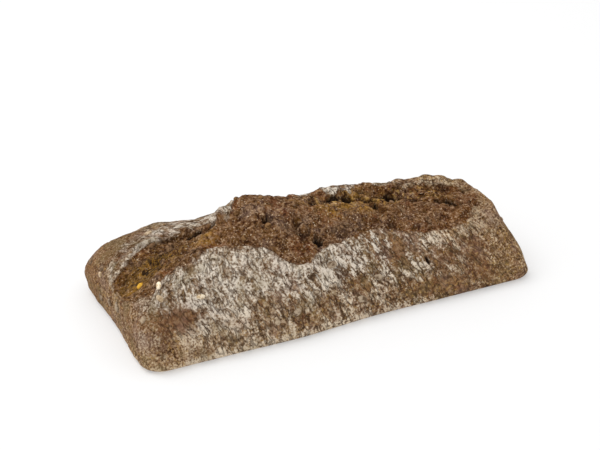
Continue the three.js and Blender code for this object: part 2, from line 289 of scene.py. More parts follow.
# Heights of the crumb: waves of lumps, a step down inside the lips, a shoulder where the burst sinks in, and
# one round knob with a moat, given as a share of the knob's height with its distance and width in radii.
LUMP_HEIGHT = 0.75
LUMP_WAVES = [(1.9, 1.7, 3.3, 0.5), (1.9, -1.7, 2.5, 0.5), (2.7, -2.1, 2.1, 0.7), (3.9, 1.4, 0, 0.6)]
LUMP_MARGIN = 0.14
LIP_STEP = 1
LIP_STEP_WIDTH = 0.07
SHOULDER_AT = (-31.5, 0.5)
SHOULDER_REACH = (3.5, 8)
SHOULDER_DROP = 1.3
KNOB_AT = (-10.5, -16.6)
KNOB_RADIUS = 2
KNOB_HEIGHT = 1.8
MOAT_SHARE = 0.6
MOAT_DISTANCE = 1.5
MOAT_WIDTH = 0.35


def radii_from_knob(x, y):
    """Distance from the knob's middle, seen from above, in radii of the knob."""
    return np.hypot(x - KNOB_AT[0], y - KNOB_AT[1]) / KNOB_RADIUS


share_in = np.minimum(1 - np.abs(loaf_v), (1 - np.abs(loaf_u)) * LIP_HALF_LENGTH / FRONT_FOOT[0][1])
lump = sum(share * np.sin(x / a + y / b + shift) for a, b, shift, share in LUMP_WAVES)
lip_steps = share_in / LIP_STEP_WIDTH
relief = LUMP_HEIGHT * lump * ease(0, LUMP_MARGIN, share_in) - LIP_STEP * lip_steps * np.exp(1 - lip_steps)
relief -= SHOULDER_DROP * soft_spot(x, y, SHOULDER_AT, SHOULDER_REACH)
from_knob = radii_from_knob(x, y)
moat = MOAT_SHARE * swell(from_knob, MOAT_DISTANCE, MOAT_WIDTH)
relief += KNOB_HEIGHT * (swell(from_knob, 0, 1) - moat)

# Torn holes with wandering edges, as (x, y, reach along, reach across, depth), and a scatter of small pores,
# every third one in the crevice.
HOLES = [(-77, 0.9, 2.6, 1, 0.6), (-48.5, -0.3, 3.4, 1.3, 3), (-43.6, -3.4, 1.9, 1.3, 2.2),
         (-23.2, -12, 2.3, 1.8, 3.6), (-5.5, -21, 2.5, 1.8, 2.8), (12.5, 3.6, 3, 2, 3),
         (18, 2, 2.5, 1.8, 2.5), (28.6, 0.6, 2.5, 1.8, 2.5), (35.9, 2.2, 3.2, 1.6, 3.5),
         (46.3, -2.2, 1.6, 1.6, 2.2), (61.5, -2, 3.8, 1.6, 3.4), (69, -15, 1, 0.8, 1.2),
         (54.4, -10.5, 2.8, 1.8, 3.4), (57.8, -11.9, 2.8, 1.8, 3.4), (44.6, -6.2, 1.5, 1.6, 2.6),
         (24.6, -8.2, 2.6, 1.6, 2.6)]
HOLE_EDGE = (1.15, 0.75)
HOLE_DEEPER = 1.4
WANDER = 0.7
PORES = 150
ALL_OVER = (-0.97, 0.97)
CREVICE_ALONG = (0, 0.8)
CREVICE_ACROSS = (-0.15, 0.3)
PORE_SIZE = (0.4, 0.8)
CREVICE_PORE_SIZE = (0.4, 1.1)
PORE_STRETCH = (1, 2.5)
PORE_EDGE = (1.3, 0.3)
PORE_DEPTH = 1.2
HOLE_MARGIN = (0.4, 1.6)


def wandering(seed):
    """Noise that bends the edges of holes, coarse with some fine."""
    return cell_noise(points, 1.7, seed) + 0.6 * cell_noise(points, 0.9, seed + 2) - 0.8


wander_x = WANDER * wandering(11)
wander_y = WANDER * wandering(12)
hole_depth = np.zeros(len(points))
for hole_x, hole_y, along, across, depth in HOLES:
    reach = np.hypot((x - hole_x) / along + wander_x, (y - hole_y) / across + wander_y)
    hole_depth = np.maximum(hole_depth, HOLE_DEEPER * depth * ease(*HOLE_EDGE, reach))
pore_draws = np.random.default_rng(5)
for pore in range(PORES):
    in_crevice = pore % 3 == 0
    pore_u = pore_draws.uniform(*(CREVICE_ALONG if in_crevice else ALL_OVER))
    pore_v = pore_draws.uniform(*(CREVICE_ACROSS if in_crevice else ALL_OVER))
    size = pore_draws.uniform(*(CREVICE_PORE_SIZE if in_crevice else PORE_SIZE))
    stretch = pore_draws.uniform(*PORE_STRETCH)
    pore_x, pore_y, _ = loaf_points(np.array([pore_u]), np.array([pore_v]), np.ones(1))[0]
    reach = np.hypot((x - pore_x + wander_x) / (size * stretch), (y - pore_y + wander_y) / size)
    hole_depth = np.maximum(hole_depth, PORE_DEPTH * size * ease(*PORE_EDGE, reach))
hole_depth *= on_top * ease(*HOLE_MARGIN, inside)
points[:, 2] += np.where(on_top, relief - hole_depth, 0)

# Faces: the top's cells, the walls' cells, and a fan under the base round one more point in its middle.
top_index = np.arange(top_count).reshape(grid_u.shape)
cell_corners = [top_index[:-1, :-1], top_index[1:, :-1], top_index[1:, 1:], top_index[:-1, 1:]]
top_faces = np.stack(cell_corners, -1).reshape(-1, 4)
rim = np.concatenate([top_index[:-1, 0], top_index[-1, :-1], top_index[:0:-1, -1], top_index[0, :0:-1]])
wall_index = top_count + np.arange(CELLS_UP * ring_size).reshape(CELLS_UP, ring_size)
rings = np.concatenate([wall_index, rim[None]])
onward = np.roll(rings, -1, axis=1)
wall_faces = np.stack([rings[:-1], onward[:-1], onward[1:], rings[1:]], -1).reshape(-1, 4)
base_middle = len(points)
base_faces = [(base_middle, second, first) for first, second in zip(rings[0].tolist(), onward[0].tolist())]
points = np.concatenate([points, [[0, 0, 0]]])


def in_metres(places):
    """Places in the loaf's millimetres as metres in the shared frame."""
    return (places - MIDDLE) / 1000


def facing(mesh):
    """The direction in which the surface faces at each point of a mesh."""
    directions = np.empty(len(mesh.vertices) * 3)
    mesh.vertices.foreach_get("normal", directions)
    return directions.reshape(-1, 3)


loaf_mesh = bpy.data.meshes.new("loaf")
loaf_faces = top_faces.tolist() + wall_faces.tolist() + base_faces
loaf_mesh.from_pydata(in_metres(points).tolist(), [], loaf_faces)
loaf_mesh.shade_smooth()
first_facing = facing(loaf_mesh)

# Where crust gives way to crumb, with a torn edge. The base's middle counts as far out on the crust.
FAR_OUT = -40
TEAR_REACH = 2.2
CRUMB_EDGE = (-0.5, 0.9)
inside = np.append(inside, FAR_OUT)
hole_depth = np.append(hole_depth, 0)
tear = cell_noise(points, 2.6, 21) + 0.7 * cell_noise(points, 1.2, 22) - 0.85
torn = inside + TEAR_REACH * tear
crumb = ease(*CRUMB_EDGE, torn)

# Place on the skin: along the foot, and up the wall by the way over its surface, drawn out and leaning as the
# flour's streaks do. The top's crust carries on from the lip it lies over.
STREAK_DRAW = 0.55
STREAK_LEAN = 0.3
skin = points * (1, 1, STREAK_DRAW)
foot = points[rings[0]]
toward = np.roll(foot, -1, axis=0) - np.roll(foot, 1, axis=0)
toward /= np.linalg.norm(toward, axis=1)[:, None]
way_up = np.zeros((ring_size, 1))
for lower, ring in zip(rings[:-1], rings[1:]):
    way_up = way_up + np.linalg.norm(points[ring] - points[lower], axis=1)[:, None]
    skin[ring] = foot + STREAK_LEAN * way_up * toward + way_up * (0, 0, STREAK_DRAW)
top_points = points[top_index]
top_skin = skin[top_index]
over_back = grid_across > 0
for lip, covered in ((0, ~over_back), (-1, over_back)):
    top_skin[:, covered] = top_skin[:, lip, None] + (top_points - top_points[:, lip, None])[:, covered]
skin[top_index] = top_skin

# Fine relief, along the surface's own direction: lumps and grains of the crumb; waves, small blisters and
# creases of the crust, smoother at the right end and on the right half of the back; the curl of the torn
# lips; and a short slit in the front. It dies out toward the base.
CREASE_EDGE = (0, 0.3)
CREASE_DEPTH = 0.5
FEWER_LEFT_CREASES = 0.6
SMOOTHER_RIGHT = 0.6
LIP_CURL = 0.8
LIP_CURL_AT = -1.2
LIP_CURL_REACH = 1.3
FLATTER_RIGHT_CURL = 0.7
SLIT_AT = (35.9, 16.8)
SLIT_REACH = (0.7, 1.4)
SLIT_LEAN = 0.3
SLIT_EDGE = (1.3, 0.5)
SLIT_DEPTH = 1.2
FINE_FULL_HEIGHT = 3
x, y, z = points.T
far_left = ease(-76, -80, x)
right_end = ease(60, 74, x)
right_half = ease(10, 30, x)
back_right = right_half * ease(0, 5, y)
crumb_grain = (
    uneven(cell_noise, points, height=0.9, cell=3.2, seed=34)
    + uneven(granules, points, height=0.6, cell=2.4, seed=32, middle=0.6)
    + uneven(granules, points, height=0.4, cell=1.3, seed=33, middle=0.6))
crumb_relief = uneven(cell_noise, points, height=1.5, cell=7, seed=31) + crumb_grain
crease = ease(*CREASE_EDGE, np.abs(2 * cell_noise(skin, 2.6, 44) - 1) + 0.35 * cell_noise(points, 5, 45))
crease = 1 - (1 - crease) * (1 - FEWER_LEFT_CREASES * far_left)
crust_relief = (
    uneven(cell_noise, points, height=0.7, cell=8, seed=41)
    + uneven(cell_noise, skin, height=0.5, cell=2.2, seed=42)
    + uneven(granules, points, height=0.25, cell=1.6, seed=43)
    + CREASE_DEPTH * (crease - 0.8))
crust_relief *= 1 - SMOOTHER_RIGHT * np.maximum(right_end, back_right)
lip_curl = LIP_CURL * swell(inside, LIP_CURL_AT, LIP_CURL_REACH) * cell_noise(points, 3.3, 51)
lip_curl *= 1 - FLATTER_RIGHT_CURL * right_half
above_slit = z - SLIT_AT[1]
from_slit = np.hypot((x - SLIT_AT[0] + SLIT_LEAN * above_slit) / SLIT_REACH[0], above_slit / SLIT_REACH[1])
slit = np.where(y < 0, ease(*SLIT_EDGE, from_slit), 0)
fine = crumb * crumb_relief + (1 - crumb) * crust_relief + lip_curl - SLIT_DEPTH * slit
fine *= ease(0, FINE_FULL_HEIGHT, z)
points = points + first_facing * fine[:, None]
points[:, 2] = np.maximum(points[:, 2], 0)
loaf_mesh.vertices.foreach_set("co", in_metres(points).ravel())
loaf_mesh.update()

# Flour, from 0 for bare to 1 for white. It lies thick on the front's left and thins out to the right; some
# places are rubbed bare and some are whiter, as (x, z, reach along, reach up, change) on the front.
FLOUR_ALONG = [(-85, 0.58), (-74, 0.6), (-60, 0.68), (-40, 0.73), (-10, 0.74), (15, 0.62), (35, 0.48),
               (55, 0.41), (85, 0.36)]
FLOUR_PATCHES = [(-69, 17.6, 9.5, 2.8, -0.75), (-75, 10, 5, 5, -0.22), (-35, 15.5, 5, 4, -0.45),
                 (-16.5, 19, 3.5, 2.5, -0.45), (23.7, 19.5, 4, 4.5, -0.5), (-11.5, 8.5, 7, 4, -0.35),
                 (45, 17, 5, 4, -0.3), (38, 7.5, 23, 4.5, -0.52), (-20.5, 9.5, 5.5, 5, -0.5),
                 (-34.5, 8.5, 6, 4, -0.35), (5.5, 14.5, 5, 6, -0.4), (20, 9, 5, 3, -0.2),
                 (55.5, 14, 5, 5, -0.2), (-66, 12, 6, 3, 0.22), (-27, 18.5, 5, 3, -0.2),
                 (-7, 19, 3.5, 3, 0.35), (7, 20.6, 4, 3, 0.4), (-48, 26.5, 7, 4, 0.2),
                 (11, 9.3, 4, 3, 0.3), (34.5, 14, 4, 3, 0.32), (47, 11.8, 5, 3, 0.4),
                 (57, 22.5, 5, 2, 0.3), (28.3, 22.3, 5, 4, -0.35), (-61, 21.2, 6, 1.6, 0.45),
                 (-73, 26, 5, 3.5, 0.18), (-64, 25.5, 5, 3, -0.06), (-57, 15, 6, 3.5, 0.55),
                 (-53.5, 20.6, 5, 4, 0.08), (-80, 17, 5, 4, -0.12), (-38.5, 30, 6, 4, -0.2),
                 (-12, 16, 4, 3, 0.25), (1, 26, 4, 3, 0.2), (43, 22, 4, 3, 0.35), (66, 10, 5, 4, 0.15),
                 (66, 24.5, 7, 4, 0.45), (12.5, 26, 3.5, 4, -0.3), (59.8, 16.9, 5, 4, -0.25),
                 (-41.5, 18.5, 4, 4, 0.12), (-13.1, 22.3, 3.5, 3, 0.25), (-8, 12.5, 4.5, 4, -0.4),
                 (-46, 11, 8, 4, 0.15), (-58.5, 6.4, 5, 3, -0.2)]
BACK_FLOUR = 0.42
LESS_ON_BACK_CORNER = 0.3
LESS_IN_CREASES = 0.3
RIM_AT = -1
RIM_REACH = 1.1
LESS_ON_LEFT_RIM = 0.2
RIGHT_LIP_FLOUR = 0.08
LESS_LOW_LEFT = 0.12
LESS_ON_LEFT_END = 0.14
x, y, z = points.T
front = ease(0, -20, y)
back_left_corner = ease(-55, -68, x) * ease(10, 14, y)
left_rim = ease(-62, -72, x)
right_lip = ease(0, -2, inside) * ease(60, 68, x) * ease(20, 23, z)
floury_lit_foot = ease(5, 1.5, z) * front * (0.5 + 0.5 * ease(-74, -60, x)) * ease(40, 15, x)
low_left_corner = ease(12, 5, z) * ease(-62, -74, x) * front
left_end = ease(-78, -83, x) * ease(-34, -24, y) * ease(8, 0, y)
flour = np.where(y < 0, smooth_line(FLOUR_ALONG, x), BACK_FLOUR - LESS_ON_BACK_CORNER * back_left_corner)
for patch_x, patch_z, along, up, change in FLOUR_PATCHES:
    flour = flour + front * change * soft_spot(x, z, (patch_x, patch_z), (along, up))
flour = flour + uneven(cell_noise, points, height=0.25, cell=9, seed=61)
flour = flour + LESS_IN_CREASES * (crease - 0.7)
rim_flour = (0.15 + 0.6 * cell_noise(points, 3.5, 62)) * (1 - LESS_ON_LEFT_RIM * left_rim)
flour = flour + rim_flour * swell(torn, RIM_AT, RIM_REACH) * ease(-6, 2, y)
flour = flour + RIGHT_LIP_FLOUR * right_lip
# More flour along the front's foot, pale partly as flour there and partly as painted light on the foot.
flour = flour + floury_lit_foot * (0.35 + 0.6 * cell_noise(points, 5, 63))
flour = flour - LESS_LOW_LEFT * low_left_corner - LESS_ON_LEFT_END * left_end
flour = np.clip(flour, 0, 1)

# How the crust looks from place to place, as shares: patchy, how much the flour's cover varies; warm, how
# warm its colours are, most at the right and low down, which holds for the crumb too; ruddy, reddish places
# of the skin, and a darker spot on the back left lobe; streaky, where flour lies more in strokes than in
# fine specks.
MORE_PATCHY_RIGHT = 0.5
LESS_PATCHY_LEFT = 0.12
WARM_LEFT = 0.9
WARM_LOW = 0.45
LESS_WARM_CORNER = 0.5
RUDDY_CLOUDS = 0.35
RUDDY_BAND = 0.45
DARKER_LOBE_SHARE = 0.5
LESS_STREAKY_LEFT = 0.8
LESS_STREAKY_RIGHT = 0.5
left_edge = ease(-72, -79, x)
left_front_edge = left_edge * front * ease(6, 14, z) * ease(-24, -32, y)
low_left = ease(-55, -70, x) * ease(16, 8, z)
patchy = (0.95 + MORE_PATCHY_RIGHT * ease(-35, 5, x)) * (0.4 + 0.6 * ease(0.05, 0.4, flour))
patchy *= 1 - LESS_PATCHY_LEFT * np.maximum(ease(-74, -80, x), low_left)
warm = np.maximum(ease(5, 75, x), WARM_LEFT * ease(-55, -72, x) * ease(24, 12, z))
warm = np.maximum(warm, 0.2 + WARM_LOW * ease(22, 6, z))
warm *= 1 - LESS_WARM_CORNER * left_front_edge
ruddy = RUDDY_CLOUDS * warm * ease(0.48, 0.62, cell_noise(points, 12, 71))
ruddy = ruddy + RUDDY_BAND * front * soft_spot(x, z, (-69, 17), (10, 4))
darker_lobe_top = DARKER_LOBE_SHARE * soft_spot(x, y, (-71, 18), (8, 8))
plain_left = ease(-58, -70, x) * np.maximum(ease(14, 8, z), ease(4, 10, y))
streaky = 1 - LESS_STREAKY_LEFT * np.maximum(left_edge, plain_left)
streaky *= 1 - LESS_STREAKY_RIGHT * ease(55, 75, x)

# How the crumb looks from place to place: golden, moist spots, as (x, y, reach); the groove that runs down to
# the left end; broken, shredded crumb there and in the crevice; painted shade deep in the holes and the slit,
# and a painted shadow on the front side of the ring round the knob.
GOLD_SPOTS = [(5.6, -8, 5), (13, -5, 5), (20, -9, 4), (30, -2, 5), (-75.5, -5.5, 7), (-47.3, -7.7, 4),
              (22, 4, 4), (-5, -1, 3), (58, -4, 4)]
GROOVE_AT = (-66, -4)
GROOVE_REACH = (11, 8)
CREVICE_REACH = 6
HOLE_SHADE = 0.92
HOLE_SHADE_FROM = (0.2, 1.5)
KNOB_SHADOW = 0.7
KNOB_SHADOW_AT = 1.3
KNOB_SHADOW_WIDTH = 0.25
gold = np.zeros(len(points))
for spot_x, spot_y, reach in GOLD_SPOTS:
    gold = np.maximum(gold, soft_spot(x, y, (spot_x, spot_y), (reach, reach)))
groove = soft_spot(x, y, GROOVE_AT, GROOVE_REACH)
crevice = swell(y, 0, CREVICE_REACH) * ease(-8, 8, x) * ease(70, 55, x)
# Painted shadow in a ring round the knob, on its front side.
knob_shadow = KNOB_SHADOW * swell(radii_from_knob(x, y), KNOB_SHADOW_AT, KNOB_SHADOW_WIDTH) * ease(-8, -18, y)
# Painted shade deep in the holes, darker the deeper they go.
hole_shade = HOLE_SHADE * ease(*HOLE_SHADE_FROM, hole_depth)


def mark(mesh, name, values):
    """Writes one number for each point of a mesh, for its finish to read."""
    mesh.attributes.new(name, "FLOAT", "POINT").data.foreach_set("value", np.array(values, np.float32))


mark(loaf_mesh, "crumb", crumb)
mark(loaf_mesh, "flour", flour)
mark(loaf_mesh, "crease", crease)
mark(loaf_mesh, "patchy", patchy)
mark(loaf_mesh, "warm", warm)
mark(loaf_mesh, "ruddy", ruddy)
mark(loaf_mesh, "darker_lobe_top", darker_lobe_top)
mark(loaf_mesh, "streaky", streaky)
mark(loaf_mesh, "gold", gold)
mark(loaf_mesh, "groove", groove)
mark(loaf_mesh, "broken", np.maximum(groove, crevice))
# Painted shade in the hollows: deep in the holes, in the slit and in the ring round the knob.
mark(loaf_mesh, "shade_in_hollows", np.maximum(np.maximum(hole_shade, slit), knob_shadow))
# How raised the crumb's grains stand, for painted shade in their gaps and painted light on their tops.
mark(loaf_mesh, "raised", np.clip(0.5 + 0.6 * crumb_grain, 0, 1))
skin_marks = loaf_mesh.attributes.new("skin", "FLOAT_VECTOR", "POINT")
skin_marks.data.foreach_set("vector", skin.astype(np.float32).ravel())


def paint(red, green, blue):
    """A colour from its screen values, 0 to 255."""
    values = np.array([red, green, blue]) / 255
    linear = np.where(values <= 0.04045, values / 12.92, ((values + 0.055) / 1.055) ** 2.4)
    return (*linear.tolist(), 1.0)


class Wire:
    """A number or colour on its way between the nodes of a finish. Arithmetic on it adds Math nodes."""

    def __init__(self, finish, socket):
        self.finish = finish
        self.socket = socket

    def math(self, operation, first, second):
        return self.finish.node("ShaderNodeMath", {"operation": operation}, {0: first, 1: second})

    def __add__(self, other):
        return self.math("ADD", self, other)

    def __radd__(self, other):
        return self.math("ADD", other, self)

    def __sub__(self, other):
        return self.math("SUBTRACT", self, other)

    def __rsub__(self, other):
        return self.math("SUBTRACT", other, self)

    def __mul__(self, other):
        return self.math("MULTIPLY", self, other)

    def __rmul__(self, other):
        return self.math("MULTIPLY", other, self)

    def __abs__(self):
        return self.math("ABSOLUTE", self, 0.0)


class Finish:
    """A material, and the one way to add nodes to it."""

    def __init__(self, name, roughness, gloss=0.1):
        self.material = bpy.data.materials.new(name)
        self.material.use_nodes = True
        self.tree = self.material.node_tree
        self.shader = self.tree.nodes["Principled BSDF"]
        self.shader.inputs["Roughness"].default_value = roughness
        self.shader.inputs["Specular IOR Level"].default_value = gloss

    def node(self, kind, settings=None, sockets=None, out=0):
        """Adds a node, sets its settings, then its sockets by value or link, and gives one of its outputs."""
        made = self.tree.nodes.new(kind)
        for key, value in (settings or {}).items():
            setattr(made, key, value)
        for key, value in (sockets or {}).items():
            self.plug(made.inputs[key], value)
        return Wire(self, made.outputs[out])

    def plug(self, socket, value):
        """Links a wire to a socket, or sets the socket to a value."""
        if isinstance(value, Wire):
            self.tree.links.new(value.socket, socket)
        else:
            socket.default_value = value

    def attribute(self, name, out="Fac"):
        """What was marked on the mesh under that name."""
        return self.node("ShaderNodeAttribute", {"attribute_name": name}, out=out)

    def noise(self, place, scale, detail, twist=0.0, rough=0.6):
        """Cloudy noise from 0 to 1."""
        sockets = {"Vector": place, "Scale": scale, "Detail": detail, "Roughness": rough, "Distortion": twist}
        return self.node("ShaderNodeTexNoise", {}, sockets)

    def between(self, low, high, value):
        """0 up to low, 1 from high on, smooth between."""
        sockets = {"Value": value, "From Min": low, "From Max": high}
        return self.node("ShaderNodeMapRange", {"interpolation_type": "SMOOTHSTEP"}, sockets)

    def blend(self, share, first, second):
        """The first colour, with that share of the second over it."""
        return self.node("ShaderNodeMix", {"data_type": "RGBA"}, {0: share, 6: first, 7: second}, 2)


bread = Finish("floury_crust_and_crumb", roughness=0.9)
place = bread.node("ShaderNodeTexCoord", out="Object")
skin_place = bread.attribute("skin", "Vector")
is_crumb = bread.attribute("crumb")
raised = bread.attribute("raised")
flour_share = bread.attribute("flour")
warm_share = bread.attribute("warm")
patchy_share = bread.attribute("patchy")
streaky_share = bread.attribute("streaky")
groove_share = bread.attribute("groove")
broken_share = bread.attribute("broken")
grit = bread.noise(place, scale=560, detail=3)
fine_grit = bread.noise(place, scale=1250, detail=2)
cloud = bread.noise(place, scale=150, detail=4)

# Crust: brown, in darker and redder clouds, greyer under flour, speckled with dark bran and golden grain.
# Where it is streaky the specks are coarser.
DARK_CRUST = paint(96, 64, 38)
LIGHT_CRUST = paint(134, 98, 63)
RED_CRUST = paint(124, 78, 50)
CRUST_UNDER_FLOUR = paint(106, 84, 64)
PALE_SPECK = paint(166, 138, 106)
BRAN_SPECK = paint(60, 40, 22)
GOLDEN_SPECK = paint(188, 148, 86)
crust = bread.blend(bread.between(0.36, 0.64, cloud), DARK_CRUST, LIGHT_CRUST)
red_cloud = bread.between(0.54, 0.66, bread.noise(place, scale=260, detail=3))
crust = bread.blend(red_cloud * 0.5, crust, RED_CRUST)
crust = bread.blend(bread.between(0.3, 0.7, flour_share) * 0.5, crust, CRUST_UNDER_FLOUR)
speck = fine_grit + (grit - fine_grit) * (streaky_share * 0.7 + 0.3)
floury = bread.between(0.1, 0.5, flour_share)
crust = bread.blend(bread.between(0.5, 0.64, speck) * (floury * 0.35 + 0.35), crust, PALE_SPECK)
crust = bread.blend(bread.between(0.47, 0.36, speck) * 0.8, crust, BRAN_SPECK)
golden = bread.between(0.56, 0.64, bread.noise(place, scale=900, detail=2, twist=0.5))
crust = bread.blend(golden * (warm_share * 0.5 + 0.1), crust, GOLDEN_SPECK)

# Flour: a grey dust that thickens to white in blotches, leaning strokes, petals of broken skin and single
# grains, warmer to the right, with golden grain showing through.
GREY_DUST = paint(163, 148, 130)
WARM_DUST = paint(165, 132, 97)
WHITE_FLOUR = paint(230, 221, 208)
CREAM_FLOUR = paint(218, 195, 162)
GOLD_IN_FLOUR = paint(186, 148, 84)
STRETCH = (1, 1, 0.8)
SWAY_REACH = (3, 3, 3)
drawn = bread.node("ShaderNodeVectorMath", {"operation": "MULTIPLY"}, {0: skin_place, 1: STRETCH})
sway = bread.node("ShaderNodeTexNoise", {}, {"Vector": skin_place, "Scale": 0.45, "Detail": 2.0}, "Color")
bent = bread.node("ShaderNodeVectorMath", {"operation": "MULTIPLY_ADD"}, {0: sway, 1: SWAY_REACH, 2: drawn})
blotch = bread.noise(drawn, scale=0.26, detail=3, twist=0.4)
stroke = bread.noise(drawn, scale=0.6, detail=3, twist=1.5)
skin_cells = {"Vector": bent, "Scale": 0.5}
petals = bread.node("ShaderNodeTexVoronoi", {"feature": "F1"}, skin_cells, "Color")
petal = bread.node("ShaderNodeSeparateColor", {}, {"Color": petals}, "Red")
spread = (blotch - 0.5) + ((stroke - 0.5) * 0.8 + (petal - 0.5) * 0.35) * streaky_share
spread = spread + (speck - 0.5) * 0.9 + (fine_grit - 0.5) * 1.3
cover = flour_share + spread * 1.2 * patchy_share
dust = bread.blend(warm_share, GREY_DUST, WARM_DUST)
crust = bread.blend(bread.between(0.25, 0.8, cover) * 0.8, crust, dust)
white = bread.blend(warm_share, WHITE_FLOUR, CREAM_FLOUR)
crust = bread.blend(bread.between(0.62, 1.15, cover), crust, white)
crust = bread.blend(golden * warm_share * 0.45, crust, GOLD_IN_FLOUR)

# Over the flour: ruddy places and a darker spot on the back left lobe, dark and pale flecks, stronger where
# it isn't streaky, and a faint drift of hue.
RUDDY_SKIN = paint(114, 76, 56)
DARKER_LOBE_SKIN = paint(70, 50, 32)
DARK_FLECK = paint(62, 42, 24)
PALE_FLECK = paint(196, 174, 142)
FINE_DARK_FLECK = paint(56, 37, 20)
FINE_PALE_FLECK = paint(196, 172, 138)
ROSY_DRIFT = paint(146, 118, 104)
OLIVE_DRIFT = paint(132, 116, 80)
crust = bread.blend(bread.attribute("ruddy"), crust, RUDDY_SKIN)
crust = bread.blend(bread.attribute("darker_lobe_top"), crust, DARKER_LOBE_SKIN)
plain = 1.0 - streaky_share * 0.6
crust = bread.blend(bread.between(0.46, 0.36, grit) * plain * 0.2, crust, DARK_FLECK)
crust = bread.blend(bread.between(0.54, 0.64, grit) * plain * 0.15, crust, PALE_FLECK)
crust = bread.blend(bread.between(0.45, 0.37, fine_grit) * plain * 0.6, crust, FINE_DARK_FLECK)
crust = bread.blend(bread.between(0.55, 0.63, fine_grit) * plain * 0.4, crust, FINE_PALE_FLECK)
hue = bread.noise(place, scale=110, detail=2)
crust = bread.blend(bread.between(0.52, 0.68, hue) * 0.3, crust, ROSY_DRIFT)
crust = bread.blend(bread.between(0.48, 0.32, hue) * 0.3, crust, OLIVE_DRIFT)

# Dark cracks run between small scales of the dried skin, broken off here and there, and the creases get
# painted shade.
CRACK = paint(72, 52, 34)
CREASE_SHADE = paint(66, 46, 28)
scales = bread.node("ShaderNodeTexVoronoi", {"feature": "DISTANCE_TO_EDGE"}, skin_cells)
kept = bread.between(0.42, 0.56, bread.noise(skin_place, scale=0.4, detail=3))
crack = bread.between(0.15, 0.03, scales) * kept
crack = (crack * 0.7 + bread.between(0.42, 0.33, stroke) * patchy_share * 0.4) * streaky_share
crust = bread.blend(crack, crust, CRACK)
# Painted shade in the creases.
crust = bread.blend(bread.between(0.5, 0.0, bread.attribute("crease")) * 0.5, crust, CREASE_SHADE)

# Crumb: brown in clouds, redder, greyer and darker by patches, warmer to the right, golden where it is moist.
DARK_CRUMB = paint(80, 50, 27)
LIGHT_CRUMB = paint(106, 75, 49)
RED_CRUMB = paint(110, 64, 38)
WARM_CRUMB = paint(100, 57, 24)
GREY_CRUMB = paint(104, 84, 74)
SHADED_CRUMB = paint(54, 31, 12)
GOLDEN_CRUMB = paint(166, 122, 50)
baked_crumb = bread.blend(bread.between(0.38, 0.62, cloud), DARK_CRUMB, LIGHT_CRUMB)
reddish = bread.between(0.5, 0.62, bread.noise(place, scale=95, detail=2))
baked_crumb = bread.blend(reddish * 0.75, baked_crumb, RED_CRUMB)
baked_crumb = bread.blend(warm_share * 0.65, baked_crumb, WARM_CRUMB)
greyish = bread.between(0.48, 0.36, bread.noise(place, scale=120, detail=2, twist=0.5))
baked_crumb = bread.blend(greyish * (0.75 - warm_share * 0.35), baked_crumb, GREY_CRUMB)
shaded = bread.between(0.5, 0.36, bread.noise(place, scale=62, detail=3))
baked_crumb = bread.blend(shaded * 0.6, baked_crumb, SHADED_CRUMB)
gold_share = bread.attribute("gold") * bread.between(0.4, 0.56, bread.noise(place, scale=420, detail=4))
baked_crumb = bread.blend(gold_share * 0.9, baked_crumb, GOLDEN_CRUMB)

# Its grain: pale and dark grit, coarse and fine, with some gold left over it; golden shreds with painted
# shade between them where it is broken; pale glints; painted shade in the gaps between raised grains and
# painted light on their tops.
PALE_GRIT = paint(158, 128, 100)
DARK_GRIT = paint(44, 20, 4)
FINE_PALE_GRIT = paint(152, 122, 94)
FINE_DARK_GRIT = paint(46, 22, 6)
GOLDEN_SHRED = paint(184, 146, 82)
SHRED_SHADE = paint(30, 14, 3)
FINE_GLINT = paint(222, 202, 174)
GLINT = paint(214, 190, 158)
GAP_SHADE = paint(40, 19, 4)
GRAIN_TOP_LIGHT = paint(138, 106, 78)
baked_crumb = bread.blend(bread.between(0.52, 0.66, grit) * 0.8, baked_crumb, PALE_GRIT)
baked_crumb = bread.blend(bread.between(0.48, 0.36, grit) * 0.9, baked_crumb, DARK_GRIT)
baked_crumb = bread.blend(bread.between(0.52, 0.64, fine_grit) * 0.6, baked_crumb, FINE_PALE_GRIT)
baked_crumb = bread.blend(bread.between(0.48, 0.36, fine_grit) * 0.7, baked_crumb, FINE_DARK_GRIT)
baked_crumb = bread.blend(gold_share * 0.2, baked_crumb, GOLDEN_CRUMB)
shreds = bread.noise(place, scale=620, detail=3, twist=0.6)
baked_crumb = bread.blend(broken_share * bread.between(0.54, 0.62, shreds) * 0.85, baked_crumb, GOLDEN_SHRED)
# Painted shade, near black, between the shreds of broken crumb.
baked_crumb = bread.blend(broken_share * bread.between(0.46, 0.38, shreds), baked_crumb, SHRED_SHADE)
baked_crumb = bread.blend(bread.between(0.66, 0.7, fine_grit) * 0.8, baked_crumb, FINE_GLINT)
baked_crumb = bread.blend(bread.between(0.7, 0.73, grit) * 0.8, baked_crumb, GLINT)
# Painted shade in the gaps between raised grains, painted light on their tops.
baked_crumb = bread.blend(bread.between(0.48, 0.2, raised) * 0.65, baked_crumb, GAP_SHADE)
baked_crumb = bread.blend(bread.between(0.6, 0.9, raised) * 0.3, baked_crumb, GRAIN_TOP_LIGHT)

# In the groove it gets painted shade, with golden strands, some of them elsewhere too, and black pits of
# painted shade. The torn holes, the slit and the ring round the knob get painted shade, near black deep down.
GROOVE_SHADE = paint(52, 33, 8)
STRAND = paint(168, 122, 44)
PIT_SHADE = paint(20, 10, 4)
HOLLOW_SHADE = paint(20, 11, 6)
# Painted shade in the groove, in dark olive patches.
groove_shade = groove_share * bread.between(0.28, 0.52, bread.noise(place, scale=330, detail=3))
baked_crumb = bread.blend(groove_shade * 0.85, baked_crumb, GROOVE_SHADE)
strands = bread.between(0.045, 0.01, abs(bread.noise(place, scale=250, detail=3, twist=1.6) - 0.5))
baked_crumb = bread.blend(strands * (groove_share * 0.4 + 0.15), baked_crumb, STRAND)
